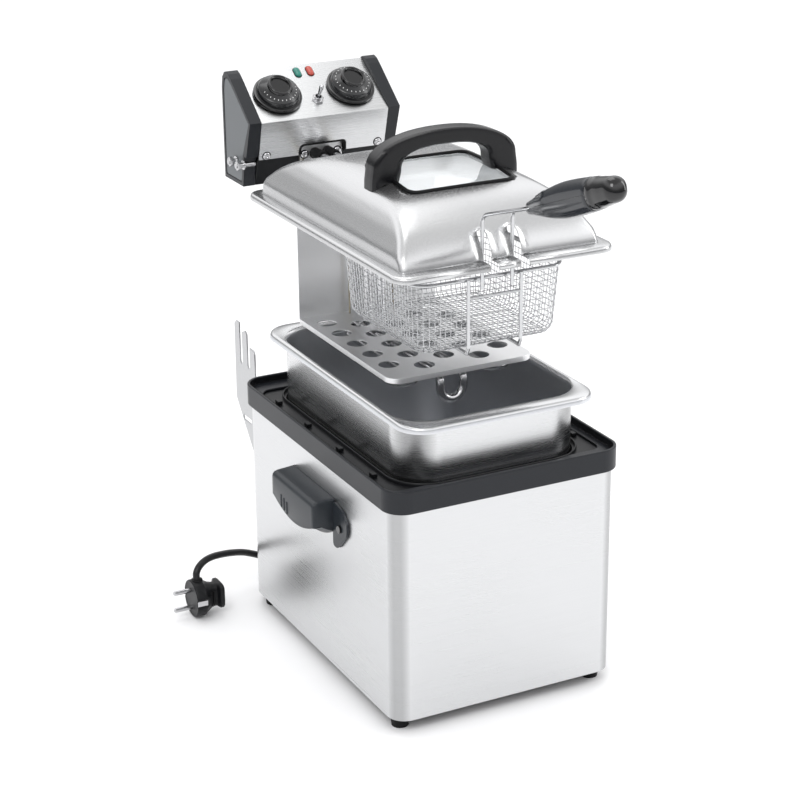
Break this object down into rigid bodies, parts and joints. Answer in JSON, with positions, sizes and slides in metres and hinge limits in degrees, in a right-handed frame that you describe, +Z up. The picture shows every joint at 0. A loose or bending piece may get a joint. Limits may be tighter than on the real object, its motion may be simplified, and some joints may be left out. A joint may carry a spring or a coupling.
{
  "type": "deep fryer",
  "caption": "Deep fryer shown pulled apart: steel housing, lift-out pot, hanging heater with control box, domed lid with window, and mesh basket with a long grip.",
  "frame": {"origin": "on the floor, under the middle of the whole object at its pulled-apart rest pose, the lead and plug left out", "axes": "+Z up; -Y to the front, where the basket grip points; +Y to the control box at the rear"},
  "size_m": [0.3472, 0.6111, 0.5483],
  "materials": {
    "brushed_steel": "brushed",
    "pot_steel": "satin",
    "wire_steel": "bright",
    "screw_steel": "bright",
    "black_plastic": "satin",
    "gloss_black": "gloss",
    "cap_plastic": "satin",
    "inner_plastic": "matte",
    "rubber_black": "matte",
    "window_glass": "clear",
    "brass_tube": "satin",
    "lamp_green": "clear",
    "lamp_red": "clear"
  },
  "bodies": {
    "housing": {"housing_shell": "brushed_steel", "base_plate": "black_plastic", "feet": "rubber_black", "foot_screws": "screw_steel", "rim_collar": "black_plastic", "inner_ring": "black_plastic", "ring_locators": "black_plastic", "carry_handle_left": "black_plastic", "carry_handle_right": "black_plastic", "carry_screws": "screw_steel", "rear_bracket_left": "brushed_steel", "rear_bracket_right": "brushed_steel", "bracket_screws": "screw_steel", "strain_relief": "rubber_black", "cord_tube": "rubber_black", "cord_coil": "rubber_black", "cord_tie": "black_plastic", "plug_body": "black_plastic", "plug_pins": "screw_steel", "plug_earth_clips": "brass_tube"},
    "pot_body": {"pot": "pot_steel"},
    "heater_unit": {"control_panel": "brushed_steel", "end_cap_left": "cap_plastic", "end_cap_right": "cap_plastic", "box_base": "black_plastic", "box_rear_cover": "cap_plastic", "cutout_edging": "rubber_black", "heater_flange": "brushed_steel", "flange_screws": "screw_steel", "panel_screws": "screw_steel", "hanger_pins": "screw_steel", "heater_guard": "brushed_steel", "heating_element": "wire_steel", "tube_sleeves": "rubber_black", "sensor_bulbs": "screw_steel", "bulb_clips": "brushed_steel", "capillaries": "brass_tube", "thermostat_body": "inner_plastic", "timer_body": "inner_plastic", "switch_body": "inner_plastic", "switch_bushing": "screw_steel", "terminal_block": "inner_plastic", "safety_cutout": "inner_plastic", "lamp_green": "lamp_green", "lamp_red": "lamp_red"},
    "temperature_dial": {"temperature_knob": "gloss_black"},
    "timer_dial": {"timer_knob": "gloss_black"},
    "toggle": {"toggle_lever": "screw_steel"},
    "lid": {"lid_shell": "brushed_steel", "window_glass": "window_glass", "window_seal": "rubber_black", "lid_handle": "gloss_black", "lid_handle_screws": "screw_steel"},
    "basket": {"basket_mesh": "wire_steel", "basket_rim": "wire_steel", "basket_bracket": "wire_steel"},
    "basket_handle": {"handle_wires": "wire_steel", "grip_upper": "gloss_black", "grip_lower": "gloss_black", "grip_end_cap": "gloss_black"}
  },
  "joints": [
    {"name": "pot_lift", "type": "slide", "parent": "housing", "child": "pot_body", "axis": [0, 0, 1], "range_m": [-0.0539, 0.13]},
    {"name": "heater_lift", "type": "slide", "parent": "pot_body", "child": "heater_unit", "axis": [0, 0, 1], "range_m": [-0.1386, 0.1]},
    {"name": "temperature_knob_turn", "type": "hinge", "parent": "heater_unit", "child": "temperature_dial", "pos_m": [-0.0403, 0.2686, 0.5055], "axis": [0, 0.5512, -0.8344], "range_deg": [0, 270]},
    {"name": "timer_knob_turn", "type": "hinge", "parent": "heater_unit", "child": "timer_dial", "pos_m": [0.0403, 0.2686, 0.5055], "axis": [0, 0.5512, -0.8344], "range_deg": [0, 300]},
    {"name": "toggle_tilt", "type": "hinge", "parent": "heater_unit", "child": "toggle", "pos_m": [0, 0.25927, 0.50005], "axis": [1, 0, 0], "range_deg": [0, 24]},
    {"name": "lid_lift", "type": "slide", "parent": "heater_unit", "child": "lid", "axis": [0, 0, 1], "range_m": [0, 0.08]},
    {"name": "basket_lift", "type": "slide", "parent": "lid", "child": "basket", "axis": [0, 0, 1], "range_m": [-0.032, 0.015]},
    {"name": "handle_pull", "type": "slide", "parent": "basket", "child": "basket_handle", "axis": [0, 0, 1], "range_m": [0, 0.05]}
  ]
}
